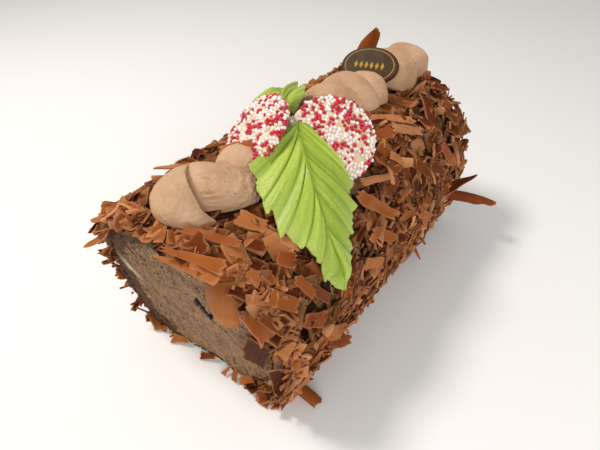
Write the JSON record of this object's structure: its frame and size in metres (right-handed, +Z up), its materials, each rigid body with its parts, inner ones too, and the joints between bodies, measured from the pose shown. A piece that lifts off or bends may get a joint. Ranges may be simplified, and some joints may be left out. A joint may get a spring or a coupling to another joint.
{
  "type": "yule log cake",
  "caption": "Yule log cake: cut mousse roll in sponge and buttercream, crusted with chocolate flakes and topped with piped cream, moulded leaves, sprinkle discs and an oval plaque.",
  "frame": {"origin": "centre of the flat underside of the log, on the surface it stands on", "axes": "+X along the log from the slanted near cut face to the far end; +Z up; +Y to the left of someone looking along +X"},
  "size_m": [0.1754, 0.1269, 0.1121],
  "materials": {
    "mousse": "whipped, dull",
    "sponge": "open crumb",
    "buttercream": "spread, satin",
    "chocolate_flakes": "milk chocolate shavings, satin",
    "piped_cream": "piped, dull",
    "green_marzipan": "moulded, satin",
    "sugar_beads": "white chocolate under red and white sugar beads",
    "dark_chocolate": "moulded, satin"
  },
  "bodies": {
    "root": {"mousse_core": "mousse", "sponge_jacket": "sponge", "buttercream_coat": "buttercream", "flake_crust": "chocolate_flakes", "cream_front": "piped_cream", "cream_scoop": "piped_cream", "cream_left": "piped_cream", "cream_middle": "piped_cream", "cream_back": "piped_cream", "cream_fold": "piped_cream", "cream_right": "piped_cream", "cream_far": "piped_cream", "leaf_front": "green_marzipan", "leaf_back": "green_marzipan", "sprinkle_disc_left": "sugar_beads", "sprinkle_disc_right": "sugar_beads", "plaque": "dark_chocolate", "curl_foot": "chocolate_flakes", "curl_side": "chocolate_flakes", "shard_far": "chocolate_flakes", "shard_front": "chocolate_flakes"}
  },
  "joints": []
}
